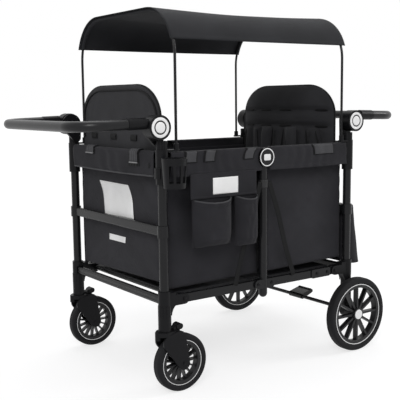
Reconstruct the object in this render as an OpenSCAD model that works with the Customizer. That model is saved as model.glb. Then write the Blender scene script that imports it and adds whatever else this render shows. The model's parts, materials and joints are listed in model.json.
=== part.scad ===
// Folding stroller wagon in millimetres.
// +X is the rear end with the big wheels, +Z is up, the ground is z = 0.

/* [Frame] */
// Half the spacing of the end uprights, front to rear
post_x = 384; // [340:1:430]
// Distance of the uprights outside the sides of the seats
post_gap = 38; // [36:1:44]
// Radius of the upright tubes
post_r = 14; // [12:0.5:17]
// Height of the foot of the end uprights
post_foot = 238; // [225:1:250]
// Height of the lower rails and their pivots
rail_z = 288; // [280:1:300]
// Height of the middle cross rails
mid_z = 499; // [480:1:520]
// Height of the upper rails and their pivots
top_z = 704; // [690:1:730]
// Distance of the rail pivots from the end uprights
pivot_s = 66; // [62:1:72]
// Distance of the rail pivots from the middle uprights
pivot_m = 28; // [27:0.5:34]

/* [Handles] */
// Height of the handle hubs
hub_z = 808; // [795:1:830]
// Outward offset of the hubs from the end uprights
hub_out = 18; // [14:1:24]
// Radius of the hub discs
hub_r = 36.5; // [32:0.5:38]
// Reach of the front handle beyond the end uprights
front_reach = 280; // [240:1:300]
// Reach of the rear handle beyond the end uprights
rear_reach = 270; // [230:1:290]
// Downward slope of the handles in degrees
handle_droop = 1.5; // [0:0.5:4]
// Bend radius of the handles
handle_bend = 85; // [60:1:100]
// Radius of the padded grips
grip_r = 15.5; // [14:0.5:17]

/* [Wheels] */
// Diameter of the rear wheels
wheel_d = 260; // [240:1:275]
// Diameter of the front caster wheels
caster_d = 179; // [165:1:186]
// Width of the tyres
tyre_w = 33; // [26:1:36]
// Distance of the outer faces of the rear wheels outside the uprights
wheel_out = 65; // [60:1:72]
// Trail of the casters behind their swivel axis
trail = 53.5; // [45:0.5:60]
// Number of spokes in a rear wheel
wheel_spokes = 12; // [8:1:14]
// Number of spokes in a caster wheel
caster_spokes = 15; // [10:1:18]

/* [Cloth and seats] */
// Half width of the seat backs
seat_w = 249; // [220:1:280]
// Height of the top of the seat backs
seat_top = 936; // [880:1:960]
// Height of the seat surface
seat_z = 470; // [450:1:474]
// Depth of the seats
seat_d = 240; // [200:1:245]
// Top of the canopy arches
canopy_z = 1163; // [1120:1:1200]
// Depth of the canopy from its top to its hem
canopy_drop = 99; // [85:1:125]
// Corner radius of the canopy arches
arch_bend = 139; // [110:1:160]

/* [Hidden] */
$fn = 48;
fit = 0.1;
gap = 0.4;
x_mid = (front_reach - rear_reach) / 2;
post_y = seat_w + post_gap;
wheel_face = post_y + wheel_out;
hem_z = canopy_z - canopy_drop;
arch_y = post_y + 7.5;
arch_r = 4.25;
arch_s = [46, 38];
wheel_r = wheel_d / 2;
caster_r = caster_d / 2;
collar = post_r + 5;
sleeve_top = [rail_z - 13.6, rail_z - 26];
cheek_in = post_y - 13.4;
cheek_out = post_y + 7.4;
cheek_t = 6;
rail_in = post_y - 7;
rail_t = 14;
pin_r = 4;
lift = [13.5, 20.5];
wall_y = [seat_w + post_gap * 0.237, seat_w + post_gap * 0.395];
brake_z = 137;
sleeve_end = 115;
tube_r = 11;
crown = caster_d + 16.7;
caster_in = caster_r * 0.79;
wheel_in = wheel_r * 0.83;
seat_foot = seat_z + 14;
cup = [-post_x + 3, -post_y - 61.5];
c_tube = [0.10, 0.10, 0.11];
c_plast = [0.07, 0.07, 0.075];
c_cloth = [0.13, 0.13, 0.14];
c_rubber = [0.05, 0.05, 0.05];
c_white = [0.92, 0.92, 0.92];
c_steel = [0.6, 0.6, 0.62];

// The whole wagon is moved so that the middle of its length stands at x = 0.
module wagon() translate([x_mid, 0, 0]) children();

// One end of the wagon: local +x points outward from the uprights, e is 1 at the rear, -1 in front.
module at_end(e) translate([e * post_x, 0, 0]) mirror([e < 0 ? 1 : 0, 0, 0]) children();

module both_sides() { children(); mirror([0, 1, 0]) children(); }

// A 2D outline drawn in x and z, made solid from y0 to y1.
module slab(y0, y1) translate([0, y1, 0]) rotate([90, 0, 0]) linear_extrude(y1 - y0) children();

module rod_y(r, y0, y1) translate([0, y0, 0]) rotate([-90, 0, 0]) cylinder(r = r, h = y1 - y0);

module rod_x(r, x0, x1) translate([x0, 0, 0]) rotate([0, 90, 0]) cylinder(r = r, h = x1 - x0);

module box(a, b) translate(a) cube(b - a);

module round_rect(w, h, r) {
  square([w - 2 * r, h], center = true);
  square([w, h - 2 * r], center = true);
  for (i = [-1, 1], j = [-1, 1]) translate([i * (w / 2 - r), j * (h / 2 - r)]) circle(r);
}

// Two circles joined by their outer tangents.
module link(a, ra, b, rb) {
  d = norm(b - a);
  t = atan2(b.y - a.y, b.x - a.x);
  k = acos((ra - rb) / d);
  translate(a) circle(ra);
  translate(b) circle(rb);
  polygon([a + ra * [cos(t + k), sin(t + k)], a + ra * [cos(t - k), sin(t - k)],
           b + rb * [cos(t - k), sin(t - k)], b + rb * [cos(t + k), sin(t + k)]]);
}

// A ribbon along a list of 2D points, t thick in y.
module ribbon(p, t) polygon(concat(p, [for (i = [len(p) - 1:-1:0]) p[i] + [0, t]]));

// A padded solid between two equal grids of points, its rim closed.
module padded(front, rear) {
  n = len(front);
  m = len(front[0]);
  k = n * m;
  polyhedron(
    points = [for (g = [front, rear], row = g, p = row) p],
    faces = concat(
      [for (i = [0:n - 2], j = [0:m - 2], h = [0, 1]) let (q = i * m + j)
        h == 0 ? [q, q + m + 1, q + m] : [q, q + 1, q + m + 1]],
      [for (i = [0:n - 2], j = [0:m - 2], h = [0, 1]) let (q = k + i * m + j)
        h == 0 ? [q, q + m, q + m + 1] : [q, q + m + 1, q + 1]],
      [for (i = [0:n - 2], h = [0, 1]) let (q = i * m)
        h == 0 ? [q, q + m, k + q + m] : [q, k + q + m, k + q]],
      [for (i = [0:n - 2], h = [0, 1]) let (q = i * m + m - 1)
        h == 0 ? [q + m, q, k + q] : [q + m, k + q, k + q + m]],
      [for (j = [0:m - 2], h = [0, 1]) let (q = j)
        h == 0 ? [q + 1, q, k + q] : [q + 1, k + q, k + q + 1]],
      [for (j = [0:m - 2], h = [0, 1]) let (q = (n - 1) * m + j)
        h == 0 ? [q, q + 1, k + q + 1] : [q, k + q + 1, k + q]]));
}

function bump(x, c, w) = abs(x - c) < w ? (1 + cos(180 * (x - c) / w)) / 2 : 0;

// Upright tubes of one end.
module posts(e) at_end(e) both_sides() translate([0, post_y, 0]) difference() {
  translate([0, 0, post_foot]) cylinder(r = post_r, h = hub_z - hub_r - 3 - post_foot);
  translate([0, 0, post_foot - 1]) cylinder(r = post_r - 1.6, h = hub_z);
}

module rear_posts() wagon() color(c_tube) posts(1);
module front_posts() wagon() color(c_tube) posts(-1);

// Lower cross rail, a flat bar with two ridges on its outer face.
module lower_cross(e) at_end(e) {
  h = post_y - post_r - 0.2;
  slab(-h, h) translate([0, rail_z]) {
    round_rect(16, 26, 5);
    for (j = [-1, 1]) translate([7, j * 5.5]) circle(2.6);
  }
}

// Middle cross rail with collars on the uprights and the arms that carry the seat hinge pins.
module middle_cross(e) at_end(e) difference() {
  union() {
    slab(-post_y + 8, post_y - 8) translate([0, mid_z]) round_rect(18, 30, 6);
    both_sides() {
      translate([0, post_y, mid_z - 18]) cylinder(r = post_r + 4, h = 36);
      slab(seat_w + 1.3, seat_w + post_gap * 0.13) link([-2, mid_z], 10.5, [-pivot_s, seat_z], 9);
      translate([-pivot_s, 0, seat_z]) rod_y(pin_r, seat_w - 5.5, seat_w + 3);
    }
  }
  both_sides() translate([0, post_y, mid_z - 40]) cylinder(r = post_r + fit, h = 80);
}

// Top cross rail inside the cloth end band.
module top_cross(e) at_end(e) translate([0, 0, top_z])
  rod_y(10, -(post_y - collar - 0.1), post_y - collar - 0.1);

module rear_cross_rails() wagon() color(c_tube) { lower_cross(1); middle_cross(1); top_cross(1); }
module front_cross_rails() wagon() color(c_tube) { lower_cross(-1); middle_cross(-1); top_cross(-1); }

// Outline of a lower corner bracket with its hollowed gusset.
module gusset() {
  link([-pivot_s, rail_z], 16, [-30, rail_z], 16);
  translate([-34, rail_z - 16]) square([34, 40]);
  difference() {
    translate([-56, post_foot + 6]) square([56, rail_z - post_foot - 8]);
    translate([-58, post_foot + 4]) circle(40);
  }
}

module lower_brackets(e) {
  k = e > 0 ? 1 : 0;
  at_end(e) both_sides() difference() {
    union() {
      slab(cheek_in, cheek_in + cheek_t) gusset();
      slab(cheek_out, cheek_out + cheek_t) gusset();
      slab(cheek_in, cheek_out + cheek_t) intersection() {
        gusset();
        translate([-46, 0]) square([60, 400]);
      }
      translate([0, post_y, sleeve_top[k] + 0.2]) cylinder(r = collar, h = rail_z + 30 - sleeve_top[k]);
      translate([-pivot_s, 0, rail_z]) rod_y(pin_r, rail_in + 1, cheek_out + 2);
      translate([-pivot_s, 0, rail_z]) rod_y(6.5, cheek_out, cheek_out + cheek_t + 2.2);
    }
    translate([0, post_y, 0]) cylinder(r = post_r + fit, h = 400);
    translate([0, post_y, 0]) cylinder(r = 20.3, h = sleeve_top[k] + 0.2);
    box([-12, cheek_in - 8, rail_z - 14], [12, cheek_in + 0.8, rail_z + 14]);
    translate([-pivot_s, 0, rail_z]) rod_y(8.4, cheek_in - 1, cheek_in + cheek_t + 1);
  }
}

// Upper bracket: collar, ears for the upper side rail and the clip of the canopy rod.
module upper_brackets(e) {
  s = arch_s[e > 0 ? 1 : 0];
  at_end(e) both_sides() difference() {
    union() {
      translate([0, post_y, top_z - 64]) cylinder(r = collar, h = 102);
      for (y = [cheek_in, cheek_out]) slab(y, y + cheek_t)
        link([-pivot_s, top_z], 13, [0, top_z], 13);
      slab(cheek_in, cheek_out + cheek_t) translate([-34, top_z - 13]) square([34, 26]);
      translate([-pivot_s, 0, top_z]) rod_y(pin_r, cheek_in, cheek_out + cheek_t);
      box([-s - 8, arch_y - 8, top_z + 32.5], [-10, arch_y + 7, top_z + 38]);
      translate([-s, arch_y, top_z + 32.5]) cylinder(r = 8, h = 22);
    }
    translate([0, post_y, 0]) cylinder(r = post_r + fit, h = hub_z);
    translate([-s, arch_y, top_z + 34.5]) cylinder(r = arch_r + fit, h = 40);
  }
}

module rear_brackets() wagon() color(c_plast) { lower_brackets(1); upper_brackets(1); }
module front_brackets() wagon() color(c_plast) { lower_brackets(-1); upper_brackets(-1); }

// Fixed half of the handle hubs: fluted sleeve, neck, inner disc and pin.
module handle_hubs(e) at_end(e) both_sides() difference() {
  union() {
    difference() {
      translate([0, post_y, top_z + 38.2]) cylinder(r = post_r + 3, h = hub_z - hub_r - 3.5 - top_z - 38.2);
      for (a = [0:30:359]) translate([0, post_y, 0]) rotate(a) translate([post_r + 3.4, 0, top_z])
        cylinder(r = 1.5, h = 200, $fn = 16);
    }
    slab(post_y - 25, cheek_in - 0.1) link([hub_out, hub_z], hub_r - 2, [0, top_z + 56], 15);
    translate([hub_out, 0, hub_z]) rod_y(8, cheek_in - 4, post_y + 3);
  }
  translate([0, post_y, 0]) cylinder(r = post_r + fit, h = hub_z - hub_r - 1);
}

module rear_handle_hubs() wagon() color(c_plast) handle_hubs(1);
module front_handle_hubs() wagon() color(c_plast) handle_hubs(-1);

// Rear axle struts with axle stubs and the bearings of the brake bar.
module rear_axle_struts() wagon() color(c_plast) at_end(1) both_sides() difference() {
  union() {
    translate([0, post_y, post_foot - 12]) cylinder(r = post_r + 4.5, h = sleeve_top[1] - post_foot + 12);
    slab(post_y - 11, post_y + 11) link([0, post_foot - 6], 15, [0, wheel_r], 18);
    translate([0, 0, wheel_r]) rod_y(6, post_y, wheel_face - 5);
    translate([0, 0, wheel_r]) rod_y(12, post_y, post_y + 14);
    translate([0, 0, brake_z]) rod_y(11, post_y - 17, post_y);
  }
  translate([0, post_y, post_foot]) cylinder(r = post_r + fit, h = 100);
  translate([0, 0, brake_z]) rod_y(6.8, post_y - 30, post_y + 2);
}

// Caster leg sleeves under the front uprights, bored for the kingpins.
module caster_legs() wagon() color(c_plast) at_end(-1) both_sides() translate([0, post_y, 0]) difference() {
  translate([0, 0, caster_d + 17]) cylinder(r = 20, h = sleeve_top[0] - caster_d - 17);
  translate([0, 0, post_foot]) cylinder(r = post_r + fit, h = 100);
  translate([0, 0, caster_d]) cylinder(r = 8.3, h = 53);
  for (a = [15:30:359]) rotate(a) translate([20.6, 0, post_foot + 3]) cylinder(r = 1.5, h = 36, $fn = 16);
}

// Canopy wire arch of one end.
module canopy_arch(e) {
  top = canopy_z - arch_r;
  at_end(e) translate([-arch_s[e > 0 ? 1 : 0], 0, 0]) {
    both_sides() {
      translate([0, arch_y, top_z + 34.7]) cylinder(r = arch_r, h = top - arch_bend - top_z - 34.7);
      translate([0, arch_y - arch_bend, top - arch_bend]) rotate([90, 0, 90])
        rotate_extrude(angle = 90) translate([arch_bend, 0]) circle(arch_r);
    }
    translate([0, 0, top]) rod_y(arch_r, -(arch_y - arch_bend), arch_y - arch_bend);
  }
}

module rear_canopy_arch() wagon() color(c_tube) canopy_arch(1);
module front_canopy_arch() wagon() color(c_tube) canopy_arch(-1);

// A 2D section carried along a U: two arms along x, two bends and a cross bar at x1.
module u_path(x0, x1, half, r) {
  both_sides() {
    translate([x0, half, 0]) rotate([90, 0, 90]) linear_extrude(x1 - r - x0) children();
    translate([x1 - r, half - r, 0]) rotate_extrude(angle = 90) translate([r, 0]) children();
  }
  translate([x1, half - r, 0]) rotate([90, 0, 0]) linear_extrude(2 * (half - r)) children();
}

// Lets a handle slope down from its hubs.
module droop() translate([hub_out, 0, hub_z]) rotate([0, handle_droop, 0])
  translate([-hub_out, 0, -hub_z]) children();

// Turning half of a handle: hub discs bored for the pins, arm sleeves and the bent tube.
module handle_tube(e, reach, up) at_end(e) droop() {
  both_sides() difference() {
    union() {
      translate([hub_out, 0, hub_z]) rod_y(hub_r, cheek_in + 0.3, post_y + 24);
      translate([0, post_y, hub_z + up]) rod_x(12.5, hub_out, hub_out + 42);
      translate([0, post_y, hub_z + up]) rod_x(17, hub_out + hub_r + 1, sleeve_end);
    }
    translate([hub_out, 0, hub_z]) rod_y(8.3, cheek_in - 1, post_y + 3.4);
    translate([hub_out, 0, hub_z]) rod_y(17.2, post_y + 6.4, post_y + 30);
    translate([hub_out, 0, hub_z]) difference() {
      rod_y(30, post_y + 22.8, post_y + 30);
      rod_y(20.6, post_y + 20, post_y + 31);
    }
  }
  translate([0, 0, hub_z + up]) u_path(sleeve_end - 6, reach - grip_r, post_y, handle_bend) circle(tube_r);
}

module front_handle_tube() wagon() color(c_plast) handle_tube(-1, front_reach, lift[0]);
module rear_handle_tube() wagon() color(c_plast) handle_tube(1, rear_reach, lift[1]);

// Padded grip round the bent tube.
module handle_grip(e, reach, up) at_end(e) droop() translate([0, 0, hub_z + up])
  u_path(sleeve_end + 0.2, reach - grip_r, post_y, handle_bend)
    difference() { circle(grip_r); circle(tube_r + fit); }

module front_handle_grip() wagon() color(c_rubber) handle_grip(-1, front_reach, lift[0]);
module rear_handle_grip() wagon() color(c_rubber) handle_grip(1, rear_reach, lift[1]);

// Push button in the recess of a hub disc.
module button(e, side) at_end(e) mirror([0, side < 0 ? 1 : 0, 0])
  translate([hub_out, 0, hub_z]) rod_y(16.7, post_y + 12.2, post_y + 25.4);

module front_button_left() wagon() color(c_white) button(-1, -1);
module front_button_right() wagon() color(c_white) button(-1, 1);
module rear_button_left() wagon() color(c_white) button(1, -1);
module rear_button_right() wagon() color(c_white) button(1, 1);

module at_caster(side) translate([-post_x, side * post_y, 0]) children();

// Caster fork: kingpin, crown, two teardrop arms, axle, front boss and the ears of the lock lever.
module caster_fork(side) at_caster(side) {
  translate([0, 0, crown - 5]) cylinder(r = 8, h = caster_d + 57 - crown);
  translate([0, 0, caster_d + 3]) linear_extrude(crown - caster_d - 3)
    link([-4, 0], 25, [trail * 0.55, 0], 21);
  both_sides() slab(tyre_w / 2 + 2.5, tyre_w / 2 + 8.5) {
    link([4, crown - 34], 24, [trail, caster_r], 20);
    link([trail * 0.72, crown - 22], 21, [trail, caster_r], 20);
    link([4, crown - 34], 24, [trail * 0.72, crown - 22], 21);
    polygon([[4, crown - 34], [trail * 0.72, crown - 22], [trail, caster_r]]);
  }
  translate([trail, 0, caster_r]) rod_y(6, -tyre_w / 2 - 10, tyre_w / 2 + 10);
  translate([-24, 0, caster_d - 8]) cylinder(r = 10, h = crown - caster_d + 8);
  both_sides() box([24, 9.2, crown - 2], [33, 12.4, crown + 9]);
  translate([28.5, 0, crown + 4.6]) rod_y(2, -10, 10);
}

module caster_fork_left() wagon() color(c_plast) caster_fork(-1);
module caster_fork_right() wagon() color(c_plast) caster_fork(1);

// Rounded swivel-lock lever on the crown.
module caster_lever(side) at_caster(side) difference() {
  union() {
    translate([28.5, 0, crown + 4.6]) rod_y(4.2, -8.8, 8.8);
    slab(-8.8, 8.8) link([28.5, crown + 4.6], 4.2, [48, crown + 9.6], 9);
    slab(-14, 14) link([43, crown + 8.6], 8, [48, crown + 9.6], 9);
  }
  translate([28.5, 0, crown + 4.6]) rod_y(2.3, -12, 12);
}

module caster_lever_left() wagon() color(c_plast) caster_lever(-1);
module caster_lever_right() wagon() color(c_plast) caster_lever(1);

// Tyre about the y axis.
module tyre(r, inner, w) rotate([90, 0, 0]) rotate_extrude($fn = 64)
  translate([(r + inner) / 2, 0]) round_rect(r - inner, w, 8);

// Spoked wheel centre about the y axis, hub from y0 to y1, bored to bore_y.
module rim(inner, w, n, hub, y0, y1, bore_y) difference() {
  root = 2.2 * hub / n;
  union() {
    rotate([90, 0, 0]) rotate_extrude($fn = 64) translate([inner - 7, 0]) round_rect(14, w, 3);
    rod_y(hub, y0, y1);
    for (i = [0:n - 1]) rotate([0, i * 360 / n, 0]) slab(-w * 0.28, w * 0.4)
      polygon([[hub - 2, -root], [inner - 12, -0.8 * root], [inner - 12, 0.8 * root], [hub - 2, root]]);
  }
  rod_y(6.3, y0 - 1, bore_y);
}

module at_caster_wheel(side) at_caster(side) translate([trail, 0, caster_r]) children();

module at_rear_wheel(side) mirror([0, side < 0 ? 1 : 0, 0])
  translate([post_x, wheel_face - tyre_w / 2, wheel_r]) children();

module caster_tyre_left() wagon() color(c_rubber) at_caster_wheel(-1) tyre(caster_r, caster_in, tyre_w);
module caster_tyre_right() wagon() color(c_rubber) at_caster_wheel(1) tyre(caster_r, caster_in, tyre_w);

module caster_rim(side) at_caster_wheel(side)
  rim(caster_in - fit, tyre_w - 7, caster_spokes, 17, -tyre_w / 2 - 2.1, tyre_w / 2 + 2.1, tyre_w);

module caster_rim_left() wagon() color(c_plast) caster_rim(-1);
module caster_rim_right() wagon() color(c_plast) caster_rim(1);

module rear_tyre_left() wagon() color(c_rubber) at_rear_wheel(-1) tyre(wheel_r, wheel_in, tyre_w);
module rear_tyre_right() wagon() color(c_rubber) at_rear_wheel(1) tyre(wheel_r, wheel_in, tyre_w);

module rear_rim(side) at_rear_wheel(side)
  rim(wheel_in - fit, tyre_w - 7, wheel_spokes, 22, post_y + 14.4 - wheel_face + tyre_w / 2,
      tyre_w / 2 - 1, tyre_w / 2 - 4.6);

module rear_rim_left() wagon() color(c_plast) rear_rim(-1);
module rear_rim_right() wagon() color(c_plast) rear_rim(1);

// Brake bar between the struts with its foot pedal.
module brake_bar() wagon() color(c_tube) at_end(1) {
  translate([0, 0, brake_z]) rod_y(6.5, -post_y - 1.6, post_y + 1.6);
  slab(-64, 5) link([0, brake_z], 10, [45, brake_z + 15], 7);
  slab(-60, 1) translate([42, brake_z + 16]) circle(8.5);
}

// Lower side rails with eyes at both ends, joined by the cross tube at the end pivots.
module lower_side_rails(e) at_end(e) {
  far = post_x - pivot_m;
  both_sides() difference() {
    union() {
      slab(rail_in, rail_in + rail_t) link([-pivot_s, rail_z], 13, [-far, rail_z], 13.01);
      if (e > 0) slab(rail_in - 1, rail_in + rail_t + 3) translate([-pivot_s - 65, rail_z])
        round_rect(88, 30, 7);
      if (e > 0) for (s = [34, 83]) translate([-pivot_s - s, 0, rail_z])
        rod_y(6, rail_in, rail_in + rail_t + 5.5);
    }
    translate([-pivot_s, 0, rail_z]) rod_y(4.3, rail_in + 0.6, rail_in + rail_t + 1);
    translate([-far, 0, rail_z]) rod_y(4.3, rail_in - 1, rail_in + rail_t + 1);
  }
  translate([-pivot_s, 0, rail_z]) rod_y(8, -rail_in - 0.5, rail_in + 0.5);
}

module rear_lower_side_rails() wagon() color(c_tube) lower_side_rails(1);
module front_lower_side_rails() wagon() color(c_tube) lower_side_rails(-1);

// Floor board lying on the cross tube.
module floor_board(e) at_end(e) difference() {
  slab(-seat_w - 5, seat_w + 5) translate([-(post_x + pivot_s - 12) / 2, rail_z + 7])
    round_rect(post_x - pivot_s, 10, 3);
  translate([-pivot_s, 0, rail_z]) rod_y(8 + fit, -post_y, post_y);
}

module rear_floor_board() wagon() color(c_cloth) floor_board(1);
module front_floor_board() wagon() color(c_cloth) floor_board(-1);

// Upper side rails inside the cloth bands.
module upper_side_rails(e) at_end(e) both_sides() difference() {
  slab(rail_in, rail_in + rail_t) link([-pivot_s, top_z], 10, [pivot_m - post_x, top_z], 10.01);
  for (x = [-pivot_s, pivot_m - post_x]) translate([x, 0, top_z])
    rod_y(4.3, rail_in - 1, rail_in + rail_t + 1);
}

module rear_upper_side_rails() wagon() color(c_tube) upper_side_rails(1);
module front_upper_side_rails() wagon() color(c_tube) upper_side_rails(-1);

// Middle uprights with rounded feet, rail ears, pins and the round hubs at the top.
module mid_posts() wagon() color(c_tube) both_sides() {
  translate([0, post_y, rail_z - 33]) {
    sphere(post_r);
    cylinder(r = post_r, h = top_z + 47 - rail_z);
  }
  for (z = [rail_z, top_z]) {
    r = z == rail_z ? 15 : 12;
    for (y = [cheek_in, cheek_out]) slab(y, y + cheek_t) link([-pivot_m, z], r, [pivot_m, z], r + 0.01);
    for (i = [-1, 1]) translate([i * pivot_m, 0, z]) rod_y(pin_r, cheek_in, cheek_out + cheek_t);
    if (z == rail_z) for (i = [-1, 1]) translate([i * pivot_m, 0, z])
      rod_y(6, cheek_out, cheek_out + cheek_t + 2.2);
  }
  translate([0, 0, top_z - 2]) difference() {
    rod_y(31, post_y + 10, post_y + 23);
    difference() {
      rod_y(29.2, post_y + 21.8, post_y + 24);
      rod_y(25.8, post_y + 20, post_y + 25);
    }
  }
}

// Slanting webbing straps from the middle uprights to the lower rails.
module side_straps() wagon() color(c_cloth) both_sides()
  slab(post_y + 14.3, post_y + 16.1) {
    polygon([[0.6, top_z - 128], [pivot_m, top_z - 142], [0.36 * post_x, rail_z + 16],
             [0.292 * post_x, rail_z + 16]]);
    polygon([[-0.6, top_z - 128], [-pivot_m, top_z - 142], [-0.37 * post_x, rail_z + 16],
             [-0.302 * post_x, rail_z + 16]]);
  }

// Cloth band hung over an upper side rail, open round the middle hub and upright.
module side_band(e) at_end(e) both_sides() difference() {
  translate([1 - post_x, 0, 0]) rotate([90, 0, 90]) linear_extrude(post_x - 22) {
    translate([post_y + 14.8, top_z - 44]) square([3, 70]);
    translate([post_y - 13, top_z + 27]) square([28, 3]);
    translate([post_y - 16, top_z + 17]) square([3, 10]);
    difference() {
      translate([post_y + 14.8, top_z + 27]) circle(3);
      translate([post_y + 10.8, top_z + 20]) square([4, 7]);
    }
    translate([post_y - 13, top_z + 27]) circle(3);
  }
  translate([-post_x, 0, top_z - 2]) rod_y(32, 0, 2 * post_y);
  box([-post_x - 15, 0, 0], [15 - post_x, 2 * post_y, top_z + 20]);
}

module rear_side_bands() wagon() color(c_cloth) side_band(1);
module front_side_bands() wagon() color(c_cloth) side_band(-1);

// Strip of the walls' middle seam that travels with the middle uprights.
module wall_seam(e) at_end(e) both_sides()
  box([1.5 - post_x, post_y - 17.6, rail_z + 39], [14 - post_x, post_y - 14.6, top_z - 49]);

module wall_seams_rear() wagon() color(c_cloth) wall_seam(1);
module wall_seams_front() wagon() color(c_cloth) wall_seam(-1);

// Cloth of one end: sleeve round the top rail and the hanging panel with its shallow folds.
function end_fold(i) = 14.8 + 0.8 * cos(i * 80);

module end_cloth(e) at_end(e) {
  h = wall_y[1] - 0.6;
  n = 36;
  slab(-h, h) translate([0, top_z - 5]) difference() {
    round_rect(27, 76, 10);
    round_rect(20.8, 72, 8);
  }
  translate([0, 0, rail_z + 31]) linear_extrude(top_z - rail_z - 36) polygon(concat(
    [for (i = [0:n]) [-end_fold(i), seat_w * (1 - 2 * i / n)]],
    [for (i = [n:-1:0]) [-end_fold(i) - 1.4, seat_w * (1 - 2 * i / n)]]));
}

module rear_end_cloth() wagon() color(c_cloth) end_cloth(1);
module front_end_cloth() wagon() color(c_cloth) end_cloth(-1);

// Half side walls with shallow folds and the tabs that hold them to the upper brackets.
module side_walls(e) {
  y0 = wall_y[e > 0 ? 1 : 0];
  n = 30;
  at_end(e) both_sides() {
    translate([0, 0, rail_z + (e > 0 ? 37 : 28)]) linear_extrude(top_z - rail_z - 69)
      ribbon([for (i = [0:n]) [-18 - i * (post_x - 27) / n, y0 + 1 + cos(i * 72)]], 1.8);
    box([-62, y0 + 0.6, top_z - 50], [-20, y0 + 3.4, top_z + 8]);
    box([-62, y0 + 0.6, top_z - 20], [-20, cheek_in - 0.3, top_z + 8]);
  }
}

module rear_side_walls() wagon() color(c_cloth) side_walls(1);
module front_side_walls() wagon() color(c_cloth) side_walls(-1);

// Padded seat back with rounded top corners, two cross seams and gathers below them.
function back_w(b) = let (r = 102, d = b - (seat_top - r))
  d <= 0 ? seat_w : seat_w - r + sqrt(max(0, r * r - d * d));
function back_t(u, b) = let (v = (b - seat_foot) / (seat_top - seat_foot))
  10 + 33 * (1 - pow(abs(u), 4)) * (1 - pow(abs(2 * v - 1), 7))
  - (9 * bump(b, seat_top - 91, 20) + 9 * bump(b, seat_top - 149, 20)) * (1 - pow(abs(u), 8))
  - (b < seat_top - 156 && abs(u) < 0.9 ? 3 * (1 + cos(u * 1440)) / 2 : 0);

function back_z(k) = seat_foot + (seat_top - seat_foot) * (1 - pow(1 - k, 1.25));

module seat_back(e) {
  n = 26;
  m = 24;
  at_end(e) padded(
    [for (i = [0:n]) let (u = 2 * i / n - 1) [for (j = [0:m]) let (b = back_z(j / m))
      [-17.6 - back_t(u, b), -u * back_w(b), b]]],
    [for (i = [0:n]) let (u = 2 * i / n - 1) [for (j = [0:m]) let (b = back_z(j / m))
      [-17.6 - 4 * pow(abs(u), 6), -u * back_w(b), b]]]);
}

module rear_seat_back() wagon() color(c_cloth) seat_back(1);
module front_seat_back() wagon() color(c_cloth) seat_back(-1);

// Rigid seat board with its hinge ears.
module seat_board(e) at_end(e) difference() {
  union() {
    slab(-seat_w + 8, seat_w - 8) translate([-pivot_s - seat_d / 2 - 2, seat_z - 29])
      round_rect(seat_d - 4, 10, 3);
    slab(-seat_w - 0.7, seat_w + 0.7) translate([-pivot_s - 18, seat_z - 29]) round_rect(28, 10, 3);
    both_sides() slab(seat_w - 6, seat_w + 0.7) link([-pivot_s, seat_z], 8, [-pivot_s - 12, seat_z - 28], 6);
  }
  translate([-pivot_s, 0, seat_z]) rod_y(pin_r + 0.3, -post_y, post_y);
}

module rear_seat_board() wagon() color(c_plast) seat_board(1);
module front_seat_board() wagon() color(c_plast) seat_board(-1);

// Seat cushion with a crown, drawn-in edges and two channels.
function pan_z(u, v) = seat_z - 13 + 12.5 * (1 - pow(abs(u), 5)) * (1 - pow(abs(v), 5))
  - 5 * (bump(v, -0.34, 0.1) + bump(v, 0.34, 0.1)) * (1 - pow(abs(u), 6));

module seat_cushion(e) {
  n = 16;
  m = 24;
  w = seat_w - 7.2;
  at_end(e) padded(
    [for (i = [0:n]) let (u = 2 * i / n - 1) [for (j = [0:m]) let (v = 2 * j / m - 1)
      [-pivot_s - 2.2 - (seat_d - 3) * (1 - u) / 2, v * (w - 3 * (1 - u * u)), pan_z(u, v)]]],
    [for (i = [0:n]) let (u = 2 * i / n - 1) [for (j = [0:m]) let (v = 2 * j / m - 1)
      [-pivot_s - 2.2 - (seat_d - 3) * (1 - u) / 2, v * (w - 3 * (1 - u * u)), seat_z - 23.6]]]);
}

module rear_seat_cushion() wagon() color(c_cloth) seat_cushion(1);
module front_seat_cushion() wagon() color(c_cloth) seat_cushion(-1);

// Canopy cover stretched over the two arches.
module vault(w, top, r) {
  translate([-w, 0]) square([2 * w, top - r]);
  translate([r - w, 0]) square([2 * (w - r), top]);
  for (i = [-1, 1]) translate([i * (w - r), top - r]) circle(r);
}

module canopy_cover() wagon() color(c_cloth)
  translate([-post_x + arch_s[0] - 14, 0, 0]) rotate([90, 0, 90])
    linear_extrude(2 * post_x - arch_s[0] - arch_s[1] + 28) difference() {
      intersection() {
        vault(arch_y + arch_r + 2.4, canopy_z + 2.4, arch_bend + arch_r + 2.4);
        translate([-2 * arch_y, hem_z]) square([4 * arch_y, 2 * canopy_drop]);
      }
      vault(arch_y + arch_r + 0.4, canopy_z + 0.4, arch_bend + arch_r + 0.4);
    }

// Slotted cup holder clamped round the near front upright.
module cup_holder() wagon() color(c_plast) {
  z0 = top_z - 70;
  difference() {
    union() {
      translate([cup.x, cup.y, z0]) cylinder(r1 = 32, r2 = 37, h = 77);
      translate([cup.x, cup.y, z0 + 77]) cylinder(r = 37.5, h = 10);
      translate([-post_x, -post_y, top_z - 46]) cylinder(r = collar + 4, h = 31);
      translate([0, 0, top_z - 46]) linear_extrude(31)
        link([-post_x, -post_y - 14], 9, [cup.x, cup.y + 22], 9.01);
    }
    translate([cup.x, cup.y, z0 + 3]) cylinder(r1 = 29.6, r2 = 34.4, h = 74.1);
    translate([cup.x, cup.y, z0 + 77]) cylinder(r = 34.5, h = 20);
    translate([-post_x, -post_y, 0]) cylinder(r = collar + fit, h = hub_z);
    box([-2 * post_x, collar - 0.3 - post_y, 0], [0, 0, hub_z]);
    for (a = [-10:36:250]) translate([cup.x, cup.y, z0 + 16]) rotate(a - 130) translate([20, -6.5, 0])
      cube([30, 13, 50]);
  }
}

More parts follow.
